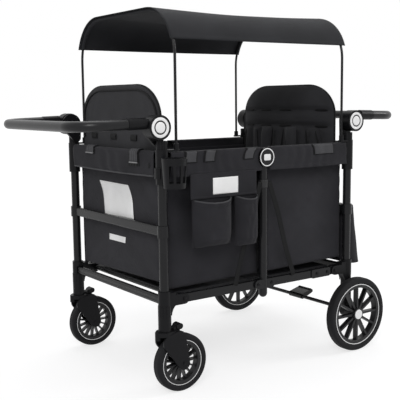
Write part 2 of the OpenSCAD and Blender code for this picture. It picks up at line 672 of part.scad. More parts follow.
// Side organizer on the near side: a flap and two open pockets.
function bulge(a, b, d, n = 14) = [for (i = [0:n]) let (t = 2 * i / n - 1)
  [(a + b) / 2 + t * (b - a) / 2, -post_y - 21.5 - d * (1 - pow(abs(t), 3.2))]];

module pocket(x0, x1, z0, z1, depth) {
  difference() {
    translate([0, 0, z0]) linear_extrude(z1 - z0)
      polygon(concat(bulge(x0, x1, depth), [[x1, -post_y - 19], [x0, -post_y - 19]]));
    translate([0, 0, z0 + 2]) linear_extrude(z1 - z0) polygon(bulge(x0 + 2, x1 - 2, depth - 2));
  }
}

module organizer() wagon() color(c_cloth) {
  slab(-post_y - 21.4, -post_y - 18.6) translate([-0.448 * post_x, top_z - 76])
    round_rect(0.6615 * post_x, 78, 6);
  slab(-post_y - 21.4, -post_y - 18.6) translate([-0.448 * post_x, top_z - 120])
    square([0.63 * post_x, 60], center = true);
  pocket(-0.763 * post_x, -0.4427 * post_x, top_z - 261, top_z - 119, 39);
  pocket(-0.2969 * post_x, -0.1406 * post_x, top_z - 274, top_z - 118, 29);
}

// Open bag behind the rear middle rail.
function bag_skin(t) = [for (i = [0:12]) let (k = i / 12)
  [55 - t + 46 * sin(90 * k) - (k > 0.8 ? 26 * pow((k - 0.8) / 0.2, 2) : 0),
   mid_z + 6 - 202 * k + t * k]];

module rear_bag() wagon() color(c_cloth) at_end(1) {
  difference() {
    slab(25 - post_y, post_y - 25) polygon(concat(bag_skin(0), [[9.6, rail_z + 15], [9.6, mid_z + 6]]));
    slab(27.4 - post_y, post_y - 27.4) polygon(concat([[53, mid_z + 9]], bag_skin(2.2),
      [[12, rail_z + 17.4], [12, mid_z + 9]]));
  }
}

rear_posts();
rear_cross_rails();
rear_brackets();
rear_handle_hubs();
rear_axle_struts();
rear_end_cloth();
rear_side_walls();
rear_seat_back();
rear_canopy_arch();
rear_bag();
front_posts();
front_cross_rails();
front_brackets();
front_handle_hubs();
caster_legs();
front_end_cloth();
front_side_walls();
front_seat_back();
front_canopy_arch();
canopy_cover();
cup_holder();
organizer();
front_handle_tube();
front_handle_grip();
rear_handle_tube();
rear_handle_grip();
front_button_left();
front_button_right();
rear_button_left();
rear_button_right();
caster_fork_left();
caster_fork_right();
caster_lever_left();
caster_lever_right();
caster_tyre_left();
caster_tyre_right();
caster_rim_left();
caster_rim_right();
rear_tyre_left();
rear_tyre_right();
rear_rim_left();
rear_rim_right();
brake_bar();
rear_lower_side_rails();
rear_floor_board();
front_lower_side_rails();
front_floor_board();
rear_upper_side_rails();
front_upper_side_rails();
mid_posts();
side_straps();
rear_side_bands();
front_side_bands();
wall_seams_rear();
wall_seams_front();
rear_seat_board();
rear_seat_cushion();
front_seat_board();
front_seat_cushion();
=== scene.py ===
"""Looks of the folding stroller wagon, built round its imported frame, in metres."""
import json
import math
import bmesh
import bpy
from mathutils import Matrix, Vector, noise


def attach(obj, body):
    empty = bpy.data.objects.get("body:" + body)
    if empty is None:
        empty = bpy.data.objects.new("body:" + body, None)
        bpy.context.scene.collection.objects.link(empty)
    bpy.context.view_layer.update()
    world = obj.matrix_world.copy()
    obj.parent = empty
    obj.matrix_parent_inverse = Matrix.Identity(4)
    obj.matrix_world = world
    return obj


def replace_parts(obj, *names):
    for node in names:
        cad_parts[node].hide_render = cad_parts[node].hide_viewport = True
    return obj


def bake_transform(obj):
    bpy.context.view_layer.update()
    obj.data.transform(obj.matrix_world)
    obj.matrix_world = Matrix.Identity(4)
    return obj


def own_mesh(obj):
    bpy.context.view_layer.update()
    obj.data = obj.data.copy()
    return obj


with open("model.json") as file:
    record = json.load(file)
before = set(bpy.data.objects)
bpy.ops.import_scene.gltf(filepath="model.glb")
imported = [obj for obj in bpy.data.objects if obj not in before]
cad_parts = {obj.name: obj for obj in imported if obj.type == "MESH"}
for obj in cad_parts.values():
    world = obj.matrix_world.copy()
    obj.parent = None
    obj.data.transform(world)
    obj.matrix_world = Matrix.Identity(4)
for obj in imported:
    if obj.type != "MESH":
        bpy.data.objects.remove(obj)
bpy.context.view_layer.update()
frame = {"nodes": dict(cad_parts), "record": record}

# Camera at the photograph's place, from a fit to the uprights, rails, wheels and canopy.
# The frame is square, so the lens is the fitted focal length over the frame's width.
yaw, pitch, roll = math.radians(35.24), math.radians(7.3), math.radians(-0.68)
ahead = Vector((math.sin(yaw) * math.cos(pitch), math.cos(yaw) * math.cos(pitch), -math.sin(pitch)))
level = Vector((math.cos(yaw), -math.sin(yaw), 0))
right = level * math.cos(roll) + level.cross(ahead) * math.sin(roll)
above = right.cross(ahead)
camera = bpy.data.objects.new("camera", bpy.data.cameras.new("camera"))
bpy.context.collection.objects.link(camera)
sensor, focal_px, image_px = 36, 780.23, 400
eye = (-1.60694, -2.21636, 0.8855)
camera.data.sensor_width = sensor
camera.data.lens = sensor * focal_px / image_px
camera.data.clip_end = 100
camera.matrix_world = Matrix.Translation(eye) @ Matrix((right, above, -ahead)).transposed().to_4x4()
bpy.context.scene.camera = camera

# Studio: a pale floor without an edge, a white surround behind it and three wide soft lights.
# The key stands to the left of the camera, as the shadows under the wheels show. The surround
# is seen as white, and lights the wagon less than it shows.
bpy.context.scene.view_settings.view_transform = "Standard"
world = bpy.data.worlds.new("surround")
bpy.context.scene.world = world
world.use_nodes = True


def shown_rays(n, l):
    """1 where a ray of the camera or of a reflection meets the surface, and 0 for light that spreads."""
    ray, either, any_ray = n.new("ShaderNodeLightPath"), n.new("ShaderNodeMath"), n.new("ShaderNodeMath")
    either.operation = any_ray.operation = "MAXIMUM"
    l.new(ray.outputs["Is Camera Ray"], either.inputs[0])
    l.new(ray.outputs["Is Glossy Ray"], either.inputs[1])
    l.new(either.outputs["Value"], any_ray.inputs[0])
    l.new(ray.outputs["Is Transmission Ray"], any_ray.inputs[1])
    return any_ray.outputs["Value"]


n, l = world.node_tree.nodes, world.node_tree.links
glow, white, choose = n["Background"], n.new("ShaderNodeBackground"), n.new("ShaderNodeMixShader")
glow.inputs["Color"].default_value = white.inputs["Color"].default_value = (1, 1, 1, 1)
glow.inputs["Strength"].default_value = 0.5
white.inputs["Strength"].default_value = 1.0
l.new(shown_rays(n, l), choose.inputs["Fac"])
l.new(glow.outputs["Background"], choose.inputs[1])
l.new(white.outputs["Background"], choose.inputs[2])
l.new(choose.outputs["Shader"], n["World Output"].inputs["Surface"])
mesh = bpy.data.meshes.new("floor")
bm = bmesh.new()
bmesh.ops.create_grid(bm, x_segments=2, y_segments=2, size=40)
bm.to_mesh(mesh)
bm.free()
floor = bpy.data.objects.new("floor", mesh)
bpy.context.collection.objects.link(floor)
floor_look = bpy.data.materials.new("floor_look")
floor_look.use_nodes = True
n, l = floor_look.node_tree.nodes, floor_look.node_tree.links
paint, tone, lift = n["Principled BSDF"], n.new("ShaderNodeMix"), n.new("ShaderNodeMath")
paint.inputs["Roughness"].default_value = 0.9
paint.inputs["Specular IOR Level"].default_value = 0.1
paint.inputs["Emission Color"].default_value = (1, 1, 1, 1)
shown = shown_rays(n, l)
tone.data_type, lift.operation = "RGBA", "MULTIPLY"
tone.inputs[6].default_value = (0.62, 0.62, 0.63, 1)
tone.inputs[7].default_value = (0.40, 0.40, 0.405, 1)
spot, reach, fade = n.new("ShaderNodeTexCoord"), n.new("ShaderNodeVectorMath"), n.new("ShaderNodeMapRange")
reach.operation, fade.interpolation_type = "LENGTH", "SMOOTHSTEP"
for socket, value in (("From Min", 1.2), ("From Max", 7.0), ("To Min", 0.70), ("To Max", 0.82)):
    fade.inputs[socket].default_value = value
l.new(spot.outputs["Object"], reach.inputs[0])
l.new(reach.outputs["Value"], fade.inputs["Value"])
l.new(fade.outputs["Result"], lift.inputs[1])
l.new(shown, tone.inputs["Factor"])
l.new(shown, lift.inputs[0])
l.new(tone.outputs[2], paint.inputs["Base Color"])
l.new(lift.outputs["Value"], paint.inputs["Emission Strength"])
mesh.materials.append(floor_look)
aim = Vector((0, 0, 0.6))
for name, place, size, power in (("key", (-2.6, -2.9, 2.9), 1.4, 62), ("side", (3.2, -1.6, 2.4), 1.0, 30),
                                 ("top", (0.3, 0.6, 3.6), 2.4, 36)):
    lamp = bpy.data.objects.new(name, bpy.data.lights.new(name, "AREA"))
    bpy.context.collection.objects.link(lamp)
    lamp.data.size, lamp.data.energy = size, power
    turn = (aim - Vector(place)).to_track_quat("-Z", "Y")
    lamp.matrix_world = Matrix.Translation(place) @ turn.to_matrix().to_4x4()

# Shared surface effects as node groups: a plain weave for the cloth, and a fine grain for
# moulded plastic, paint and rubber. Each gives a shade factor and a bumped normal.
weave = bpy.data.node_groups.new("weave", "ShaderNodeTree")
weave.interface.new_socket("Thread", in_out="INPUT", socket_type="NodeSocketFloat").default_value = 900
weave.interface.new_socket("Depth", in_out="INPUT", socket_type="NodeSocketFloat").default_value = 0.0004
weave.interface.new_socket("Shade", in_out="OUTPUT", socket_type="NodeSocketFloat")
weave.interface.new_socket("Normal", in_out="OUTPUT", socket_type="NodeSocketVector")
n, l = weave.nodes, weave.links
group_in, group_out = n.new("NodeGroupInput"), n.new("NodeGroupOutput")
coord = n.new("ShaderNodeTexCoord")
warp, weft = n.new("ShaderNodeTexWave"), n.new("ShaderNodeTexWave")
warp.bands_direction, weft.bands_direction = "X", "Z"
for wave in (warp, weft):
    l.new(coord.outputs["Object"], wave.inputs["Vector"])
    l.new(group_in.outputs["Thread"], wave.inputs["Scale"])
    wave.inputs["Distortion"].default_value = 0.4
threads = n.new("ShaderNodeMath")
threads.operation = "MAXIMUM"
l.new(warp.outputs["Fac"], threads.inputs[0])
l.new(weft.outputs["Fac"], threads.inputs[1])
cloud = n.new("ShaderNodeTexNoise")
cloud.inputs["Scale"].default_value = 9
cloud.inputs["Detail"].default_value = 5
l.new(coord.outputs["Object"], cloud.inputs["Vector"])
soft = n.new("ShaderNodeMapRange")
soft.inputs["From Min"].default_value, soft.inputs["From Max"].default_value = 0.3, 0.7
soft.inputs["To Min"].default_value, soft.inputs["To Max"].default_value = 0.8, 1.15
l.new(cloud.outputs["Fac"], soft.inputs["Value"])
fleck = n.new("ShaderNodeMapRange")
fleck.inputs["To Min"].default_value, fleck.inputs["To Max"].default_value = 0.88, 1.06
l.new(threads.outputs["Value"], fleck.inputs["Value"])
shade = n.new("ShaderNodeMath")
shade.operation = "MULTIPLY"
l.new(soft.outputs["Result"], shade.inputs[0])
l.new(fleck.outputs["Result"], shade.inputs[1])
bump = n.new("ShaderNodeBump")
bump.inputs["Strength"].default_value = 0.5
l.new(group_in.outputs["Depth"], bump.inputs["Distance"])
l.new(threads.outputs["Value"], bump.inputs["Height"])
l.new(shade.outputs["Value"], group_out.inputs["Shade"])
l.new(bump.outputs["Normal"], group_out.inputs["Normal"])

grain = bpy.data.node_groups.new("grain", "ShaderNodeTree")
grain.interface.new_socket("Scale", in_out="INPUT", socket_type="NodeSocketFloat").default_value = 700
grain.interface.new_socket("Depth", in_out="INPUT", socket_type="NodeSocketFloat").default_value = 0.0002
grain.interface.new_socket("Shade", in_out="OUTPUT", socket_type="NodeSocketFloat")
grain.interface.new_socket("Rough", in_out="OUTPUT", socket_type="NodeSocketFloat")
grain.interface.new_socket("Normal", in_out="OUTPUT", socket_type="NodeSocketVector")
n, l = grain.nodes, grain.links
group_in, group_out = n.new("NodeGroupInput"), n.new("NodeGroupOutput")
coord = n.new("ShaderNodeTexCoord")
fine, broad = n.new("ShaderNodeTexNoise"), n.new("ShaderNodeTexNoise")
l.new(coord.outputs["Object"], fine.inputs["Vector"])
l.new(coord.outputs["Object"], broad.inputs["Vector"])
l.new(group_in.outputs["Scale"], fine.inputs["Scale"])
broad.inputs["Scale"].default_value = 14
broad.inputs["Detail"].default_value = 6
tone, gloss = n.new("ShaderNodeMapRange"), n.new("ShaderNodeMapRange")
tone.inputs["To Min"].default_value, tone.inputs["To Max"].default_value = 0.8, 1.2
gloss.inputs["To Min"].default_value, gloss.inputs["To Max"].default_value = 0.9, 1.12
l.new(broad.outputs["Fac"], tone.inputs["Value"])
l.new(broad.outputs["Fac"], gloss.inputs["Value"])
bump = n.new("ShaderNodeBump")
bump.inputs["Strength"].default_value = 0.4
l.new(group_in.outputs["Depth"], bump.inputs["Distance"])
l.new(fine.outputs["Fac"], bump.inputs["Height"])
l.new(tone.outputs["Result"], group_out.inputs["Shade"])
l.new(gloss.outputs["Result"], group_out.inputs["Rough"])
l.new(bump.outputs["Normal"], group_out.inputs["Normal"])


# Materials: a dark base colour scaled by the group's shade factor, its normal, and where the
# surface is hard also its roughness. Numbers that hold all over sit on the shader itself.
def make_look(name, colour, group, scale, depth, roughness, specular, sheen=0.0):
    look = bpy.data.materials.new(name)
    look.use_nodes = True
    n, l = look.node_tree.nodes, look.node_tree.links
    shader = n["Principled BSDF"]
    shader.inputs["Roughness"].default_value = roughness
    shader.inputs["Specular IOR Level"].default_value = specular
    shader.inputs["Sheen Weight"].default_value = sheen
    shader.inputs["Sheen Roughness"].default_value = 0.45
    effect = n.new("ShaderNodeGroup")
    effect.node_tree = group
    effect.inputs[0].default_value = scale
    effect.inputs["Depth"].default_value = depth
    tint = n.new("ShaderNodeMix")
    tint.data_type, tint.blend_type = "RGBA", "MULTIPLY"
    tint.inputs["Factor"].default_value = 1.0
    tint.inputs[6].default_value = (*colour, 1)
    grey = n.new("ShaderNodeCombineColor")
    for channel in ("Red", "Green", "Blue"):
        l.new(effect.outputs["Shade"], grey.inputs[channel])
    l.new(grey.outputs["Color"], tint.inputs[7])
    l.new(tint.outputs[2], shader.inputs["Base Color"])
    l.new(effect.outputs["Normal"], shader.inputs["Normal"])
    if group == grain:
        rough = n.new("ShaderNodeMath")
        rough.operation = "MULTIPLY"
        rough.inputs[1].default_value = roughness
        l.new(effect.outputs["Rough"], rough.inputs[0])
        l.new(rough.outputs["Value"], shader.inputs["Roughness"])
    return look


tube_look = make_look("tube_look", (0.008, 0.008, 0.009), grain, 900, 0.0001, 0.27, 0.22)
plastic_look = make_look("plastic_look", (0.008, 0.008, 0.009), grain, 1100, 0.0002, 0.36, 0.12)
rim_look = make_look("rim_look", (0.007, 0.007, 0.008), grain, 900, 0.0002, 0.4, 0.3)
tyre_look = make_look("tyre_look", (0.010, 0.010, 0.0112), grain, 600, 0.0005, 0.72, 0.2)
grip_look = make_look("grip_look", (0.007, 0.007, 0.008), grain, 420, 0.0003, 0.3, 0.26)
white_look = make_look("white_look", (0.98, 0.98, 0.98), grain, 500, 0.00005, 0.3, 0.5)
cloth_look = make_look("cloth_look", (0.0235, 0.023, 0.0265), weave, 700, 0.0002, 0.85, 0.15, sheen=0.05)
wall_look = make_look("wall_look", (0.025, 0.0245, 0.0285), weave, 700, 0.0002, 0.8, 0.18, sheen=0.05)
seat_look = make_look("seat_look", (0.031, 0.031, 0.034), weave, 520, 0.0003, 0.8, 0.2, sheen=0.05)
canopy_look = make_look("canopy_look", (0.018, 0.0185, 0.021), weave, 800, 0.0002, 0.8, 0.18, sheen=0.04)
web_look = make_look("web_look", (0.009, 0.009, 0.010), weave, 260, 0.0004, 0.55, 0.4)
# Near black: the own colour of binding, piping, straps and loops, and painted shade where it lies along the
# seat backs' seams and folds.
binding_and_shade_look = make_look("binding_and_shade_look", (0.006, 0.006, 0.0065), weave, 300, 0.0003, 0.7, 0.18)
# Lighter webbing for the tabs, also used as a painted highlight on the band welts and pocket rims.
tab_and_highlight_look = make_look("tab_and_highlight_look", (0.042, 0.042, 0.046), weave, 300, 0.0003, 0.6, 0.3)
# Pale grey: a painted highlight on the rolls along the lower edges of the front band's tabs.
painted_highlight_look = make_look("painted_highlight_look", (0.28, 0.28, 0.285), weave, 300, 0.0002, 0.6, 0.3)
patch_look = make_look("patch_look", (0.98, 0.98, 0.975), grain, 500, 0.00003, 0.7, 0.3)
board_look = make_look("board_look", (0.015, 0.015, 0.017), grain, 500, 0.0004, 0.6, 0.3)

# The carried-over frame of painted tubes, moulded brackets, boards and wheels: every CAD node
# that shows takes the look of its slot in the record. Seen edges are already rounded in the
# solids, so only shading is set here.
slot_looks = {"frame_tube": tube_look, "plastic": plastic_look, "wheel_rim": rim_look, "tyre": tyre_look,
              "grip": grip_look, "white_trim": white_look, "fabric": cloth_look, "padding": seat_look,
              "webbing": web_look, "board": board_look}
for part in frame["record"]["subparts"]:
    node = frame["nodes"][part["node"]]
    node.data.materials.clear()
    node.data.materials.append(slot_looks[part["material_slot"]])


# Cloth walls of the tub, of coated weave, one half on each side of each end. They are stretched
# between the uprights, post_x from the wagon's middle, and the middle seam, with a little belly,
# hems, and puckers towards the corners. The wagon's middle is mid_x from the frame's origin.
post_x, mid_x = 0.384, 0.005
ends, sides = ((1, "rear"), (-1, "front")), ((-1, "left"), (1, "right"))


def make_piece(name, bm, look, body):
    bmesh.ops.recalc_face_normals(bm, faces=bm.faces)
    mesh = bpy.data.meshes.new(name)
    bm.to_mesh(mesh)
    bm.free()
    mesh.materials.append(look)
    mesh.polygons.foreach_set("use_smooth", [True] * len(mesh.polygons))
    piece = bpy.data.objects.new(name, mesh)
    bpy.context.collection.objects.link(piece)
    if body:
        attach(piece, body)
    return piece


def shell(point, across, along, thick, closed=False):
    """A closed sheet of that thickness round the surface point(u, v), with u and v from 0 to 1."""
    bm = bmesh.new()
    step = 1e-3
    layers = [[], []]
    for i in range(across + (0 if closed else 1)):
        u = i / across
        rows = [[], []]
        for j in range(along + 1):
            v = j / along
            here = point(u, v)
            run = point(u + step, v) - point(u - step, v)
            rise = point(u, min(v + step, 1)) - point(u, max(v - step, 0))
            out = run.cross(rise).normalized() * thick / 2
            rows[0].append(bm.verts.new(here + out))
            rows[1].append(bm.verts.new(here - out))
        layers[0].append(rows[0])
        layers[1].append(rows[1])
    count = len(layers[0])
    for i in range(count if closed else count - 1):
        k = (i + 1) % count
        for j in range(along):
            for side in layers:
                bm.faces.new((side[i][j], side[k][j], side[k][j + 1], side[i][j + 1]))
        for j in (0, along):
            bm.faces.new((layers[0][i][j], layers[0][k][j], layers[1][k][j], layers[1][i][j]))
    if not closed:
        for i in (0, count - 1):
            for j in range(along):
                bm.faces.new((layers[0][i][j], layers[0][i][j + 1], layers[1][i][j + 1], layers[1][i][j]))
    return bm


def wall_point(end, side, u, v):
    x = end * (post_x - (0.016 + 0.367 * u))
    foot, top = 0.320 + 0.018 * x, 0.706
    z = foot + (top - foot) * v
    out = 0.2658 if end > 0 else 0.2600
    belly = 0.0028 * math.sin(math.pi * min(max(u, 0), 1)) * math.sin(math.pi * v)
    hem = 0.0011 * (1 if v < 0.035 or u < 0.03 else 0)
    pull = 0.0011 * math.sin(46 * (v - 0.75 * u)) * (1 - u) ** 2 * v
    pull += 0.0009 * math.sin(38 * (v + 0.9 * u)) * u ** 3
    drift = 0.0022 * noise.noise(Vector((x * 7, side * 3, z * 4)))
    return Vector((x + mid_x, side * (out + belly + hem + pull + drift), z))


for end, word in ends:
    for side, side_word in sides:
        wall = make_piece(f"{word}_wall_{side_word}",
                          shell(lambda u, v: wall_point(end, side, u, v), 72, 60, 0.0016),
                          wall_look, None)
        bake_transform(wall)
        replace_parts(wall, f"{word}_side_walls")

# Binding tape of ribbed webbing, sewn over the middle seam of the walls from foot to top.
# It rides on the seam bodies, which follow the middle uprights when the wagon folds.
for end, word in ends:
    for side, side_word in sides:
        def tape_point(u, v):
            rib = 0.0005 * math.cos(u * 6 * math.pi)
            return Vector((end * (0.0015 + 0.0125 * u) + mid_x, side * (0.2708 + rib), 0.327 + 0.328 * v))
        tape = make_piece(f"{word}_seam_tape_{side_word}", shell(tape_point, 16, 40, 0.0016), binding_and_shade_look,
                          f"wall_seam_{word}")
        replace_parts(tape, f"wall_seams_{word}")


# Cloth of the two ends: a hanging panel, sewn to the walls, and a padded sleeve over the top rail,
# creased where it is drawn tight and closed by a welt along its foot. The welt is painted lighter
# than the sleeve, as a highlight along the hem.
panel_half, panel_top = 0.2495, 0.7
sleeve_half, sleeve_z = 0.2634, 0.699


def panel_foot(end, u):
    return 0.323 + 0.013 * (1 - u) if end < 0 else 0.319


def end_panel_point(end, u, v):
    y = panel_half * (2 * u - 1)
    z = panel_foot(end, u) + (panel_top - panel_foot(end, u)) * v
    belly = 0.0006 * math.sin(math.pi * u) * math.sin(math.pi * v)
    pull = 0.0007 * math.sin(30 * (v - u)) * (1 - u) ** 3 + 0.0007 * math.sin(30 * (v + u)) * u ** 3
    hem = 0.0006 * (1 if v < 0.03 else 0)
    return Vector((end * (0.3688 + belly + pull + hem) + mid_x, y, z))


def end_band_point(end, u, v):
    turn = 2 * math.pi * u
    square = lambda c, half, power: half * math.copysign(abs(c) ** power, c)
    y = sleeve_half * (2 * v - 1)
    soft = 1 + 0.10 * noise.noise(Vector((turn * 0.6, y * 12, end * 5)))
    soft += 0.15 * noise.noise(Vector((turn * 2.2, y * 7 + turn, end * 9)))
    soft += 0.07 * math.sin(58 * y + 3 * math.sin(17 * y) + 2.5 * turn) * math.sin(math.pi * v)
    sag = 0.003 * math.sin(math.pi * v)
    x = square(math.cos(turn), 0.0146, 0.6) * soft
    z = square(math.sin(turn), 0.038, 0.35) - sag * (1 if math.sin(turn) < 0 else 0.4)
    return Vector((end * post_x + mid_x + x, y, sleeve_z + z))


for end, word in ends:
    panel = make_piece(f"{word}_end_panel", shell(lambda u, v: end_panel_point(end, u, v), 80, 60, 0.0014),
                       wall_look, f"{word}_frame")
    band = make_piece(f"{word}_end_band",
                      shell(lambda u, v: end_band_point(end, u, v), 48, 90, 0.0012, closed=True),
                      cloth_look, f"{word}_frame")
    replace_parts(panel, f"{word}_end_cloth")

    # The welt's lighter colour is a painted highlight along the sleeve's hem.
    def welt_point(u, v):
        way = 2 * math.pi * u
        return Vector((end * (0.3955 + 0.0027 * math.cos(way)) + mid_x, 0.2608 * (2 * v - 1),
                       0.6635 - 0.003 * math.sin(math.pi * v) + 0.0027 * math.sin(way)))
    make_piece(f"{word}_band_welt", shell(welt_point, 12, 60, 0.0006, closed=True), tab_and_highlight_look,
               f"{word}_frame")

# Two plain white patches of coated cloth on the front panel. The larger one is sewn along its top
# edge and hangs a little askew with its foot lifted, and the small one lies flat.
for name, corners, curl, flat in (
        ("front_panel_patch", ((0.129, 0.621), (-0.061, 0.619), (-0.098, 0.513), (0.091, 0.507)), 0.010,
         (0.19, 0.117)),
        ("front_panel_tag", ((0.069, 0.446), (-0.039, 0.447), (-0.036, 0.427), (0.070, 0.426)), 0,
         (0.107, 0.0205))):
    def patch_point(u, v):
        (y0, z0), (y1, z1), (y2, z2), (y3, z3) = corners
        y = (y0 + (y1 - y0) * u) * v + (y3 + (y2 - y3) * u) * (1 - v)
        z = (z0 + (z1 - z0) * u) * v + (z3 + (z2 - z3) * u) * (1 - v)
        y -= curl * math.sin(math.pi * v) * (0.4 + 1.2 * v)
        lift = 0.0013 + 0.3 * curl * (1 - v) ** 2 * (0.6 + 0.4 * math.cos(7 * u))
        across = (y / panel_half + 1) / 2
        foot = panel_foot(-1, across)
        return end_panel_point(-1, across, (z - foot) / (panel_top - foot)) + Vector((-lift, 0, 0))
    patch = make_piece(name, shell(patch_point, 30, 24, 0.0006), patch_look, "front_frame")

# Webbing tabs over the front sleeve, each a strip on a wider dark loop, with a thin roll along its
# foot that is painted pale grey as a highlight. They are wrapped round the sleeve and sewn, and a
# press stud of plastic sits beside them.
for count, (low, high, drop) in enumerate(((0.112, 0.164, 0.248), (-0.176, -0.128, 0.260))):
    def band_tab_point(u, v, grow=0.0, lift=0.0034):
        y = low - grow + (high - low + 2 * grow) * u
        p = end_band_point(-1, 0.24 + (drop + 0.3 * grow) * v, (y / sleeve_half + 1) / 2)
        out = Vector((p.x + post_x - mid_x, 0, 0.35 * (p.z - sleeve_z)))
        return p + out.normalized() * (lift + 0.0006 * math.cos(8 * math.pi * u))

    # A thin roll along the tab's lower edge, whose pale colour is a painted highlight.
    def edge_point(u, v):
        way = 2 * math.pi * u
        return band_tab_point(v, 1) + Vector((0.0019 * math.cos(way), 0, 0.0019 * math.sin(way)))
    for part, point, look, wider in (
            ("loop", lambda u, v: band_tab_point(u, v, 0.007, 0.0018), binding_and_shade_look, 0.014),
            ("tab", band_tab_point, tab_and_highlight_look, 0)):
        tab = make_piece(f"front_band_{part}_{count}", shell(point, 24, 40, 0.0012), look,
                         "front_frame")
    make_piece(f"front_band_edge_{count}", shell(edge_point, 10, 16, 0.0005, closed=True), painted_highlight_look,
               "front_frame")
bm = bmesh.new()
stud = Matrix.Translation((-post_x - 0.0140 + mid_x, -0.236, 0.694))
stud = stud @ Matrix.Diagonal((0.0035, 0.0085, 0.0085, 1))
bmesh.ops.create_uvsphere(bm, u_segments=32, v_segments=16, radius=1, matrix=stud)
make_piece("front_band_stud", bm, tyre_look, "front_frame")


# Side bands: cloth folded over the upper side rails, hanging outside the frame with a deep hem.
# Each half bends from the end frame to its rail, and ends in a curve round the middle hub.
# On the near side webbing tabs are sewn over dark loops.
hub_z, hub_clear = 0.702, 0.0328
band_start, band_stop = post_x - 0.0215, 0.0163
near_tabs = {"front": ((-0.308, -0.272), (-0.236, -0.2), (-0.076, -0.042)), "rear": ((0.205, 0.292),)}


def band_profile(v):
    path = [(0.2722, 0.690), (0.2722, 0.7215), (0.2714, 0.7295), (0.2732, 0.7325), (0.2765, 0.7335),
            (0.2985, 0.7335), (0.3012, 0.7325), (0.3032, 0.7295), (0.3036, 0.715), (0.3036, 0.69),
            (0.3036, 0.6725), (0.3046, 0.6705), (0.3046, 0.6605)]
    length = [0]
    for a, b in zip(path, path[1:]):
        length.append(length[-1] + math.dist(a, b))
    at = min(max(v, 0), 1) * length[-1]
    k = max(i for i in range(len(path) - 1) if length[i] <= at)
    t = (at - length[k]) / (length[k + 1] - length[k])
    return [path[k][i] + t * (path[k + 1][i] - path[k][i]) for i in (0, 1)]


def band_point(end, side, u, v):
    y, z = band_profile(v)
    outside = y > 0.3
    z -= 0.0022 * math.sin(math.pi * u) * min(max((0.72 - z) / 0.05, 0), 1) if outside else 0
    lift = abs(z - hub_z)
    stop = math.sqrt(hub_clear ** 2 - lift ** 2) if lift < 0.0285 else band_stop
    x = band_start - u * (band_start - max(stop, band_stop))
    crease = 0.0011 * math.sin(52 * u + 9 * z) * math.sin(math.pi * u) ** 2 if outside else 0
    crease += 0.0016 * noise.noise(Vector((x * 14, side * 2 + end, z * 9))) if outside else 0
    return Vector((end * x + mid_x, side * (y + crease), z))


for end, word in ends:
    for side, side_word in sides:
        band = make_piece(f"{word}_side_band_{side_word}",
                          shell(lambda u, v: band_point(end, side, u, v), 110, 56, 0.0018),
                          cloth_look, None)
        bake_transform(band)
        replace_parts(band, f"{word}_side_bands")
        for count, (low, high) in enumerate(near_tabs[word] if side_word == "left" else ()):
            def tab_point(u, v, grow=0.0, lift=0.0034):
                at = (low - grow + (high - low + 2 * grow) * u) * end
                along = (band_start - at) / (band_start - band_stop)
                p = band_point(end, side, along, 0.476 - 3 * grow + (0.235 + 6 * grow) * v)
                return p + Vector((0, side * lift, 0.0004))
            for part, point, look, wider in (
                    ("loop", lambda u, v: tab_point(u, v, 0.006, 0.0016), binding_and_shade_look, 0.012),
                    ("tab", tab_point, tab_and_highlight_look, 0)):
                tab = make_piece(f"{word}_side_band_{part}_{count}", shell(point, 14, 24, 0.0014), look,
                                 f"upper_rails_{word}")


# Slanting webbing straps from loops on the middle uprights down to the lower rails.
strap_y, strap_half = 0.2975, 0.0085
(top_x, top_z), (foot_x, foot_z) = (0.0185, 0.622), (0.124, 0.300)
for end, word in ends:
    for side, side_word in sides:
        def strap_point(u, v):
            middle = Vector((end * (top_x + (foot_x - top_x) * v), 0, top_z + (foot_z - top_z) * v))
            edge = Vector((end * strap_half, 0, 0.003)) * (2 * u - 1)
            middle.x += 0.0035 * math.sin(2 * math.pi * v) * math.sin(math.pi * v)
            rib = 0.0003 * math.cos(u * 8 * math.pi) + 0.0006 * math.sin(math.pi * v) ** 2
            return middle + edge + Vector((mid_x, side * (strap_y + rib), 0))
        strap = make_piece(f"{word}_strap_{side_word}", shell(strap_point, 16, 60, 0.0014), binding_and_shade_look,
                           None)
        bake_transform(strap)
        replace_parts(strap, "side_straps")
for side, side_word in sides:
    def loop_point(u, v):
        turn, radius = -2 * math.pi * u, 0.0154
        return Vector((mid_x + radius * math.cos(turn), side * (0.287 + radius * math.sin(turn)),
                       0.603 + 0.026 * v))
    loop = make_piece(f"strap_loop_{side_word}", shell(loop_point, 40, 8, 0.0016, closed=True), web_look,
                      "mid_frame")


# Side organizer on the near side: a cloth flap with a plain patch and two hanging pockets, which
# are gathered at the foot and stand open at their hemmed tops. It hangs from the side band.
def flap_point(u, v):
    x, z = -0.299 + 0.254 * u, 0.588 + 0.077 * v
    roll = 0.0014 * (1 if v < 0.09 else 0) + 0.0022 * noise.noise(Vector((x * 16, 1, z * 14)))
    return Vector((x + mid_x, -0.3082 - max(roll, -0.0004), z))


def pocket_point(low, high, deep, u, v):
    t = 2 * u - 1
    half = (high[0] - low[0]) / 2 * (0.84 + 0.16 * math.sqrt(min(max(v, 0) * 4, 1)))
    fill = math.sqrt(min(max(v, 0) / 0.16, 1)) * (0.93 + 0.07 * math.sin(2.4 * v))
    hem = 0.0016 * (1 if v > 0.91 else 0)
    lip = 0.010 * (1 - t * t) * v ** 3
    crease = 0.003 * noise.noise(Vector((t * 3, v * 4, deep * 90))) * (1 - t ** 4)
    out = (deep - 0.001 + crease) * (1 - abs(t) ** 3.2) * fill + hem * (1 - t ** 8)
    return Vector(((low[0] + high[0]) / 2 + half * t + mid_x, -0.3088 - max(out, 0),
                   low[1] + (high[1] - low[1]) * v - lip))


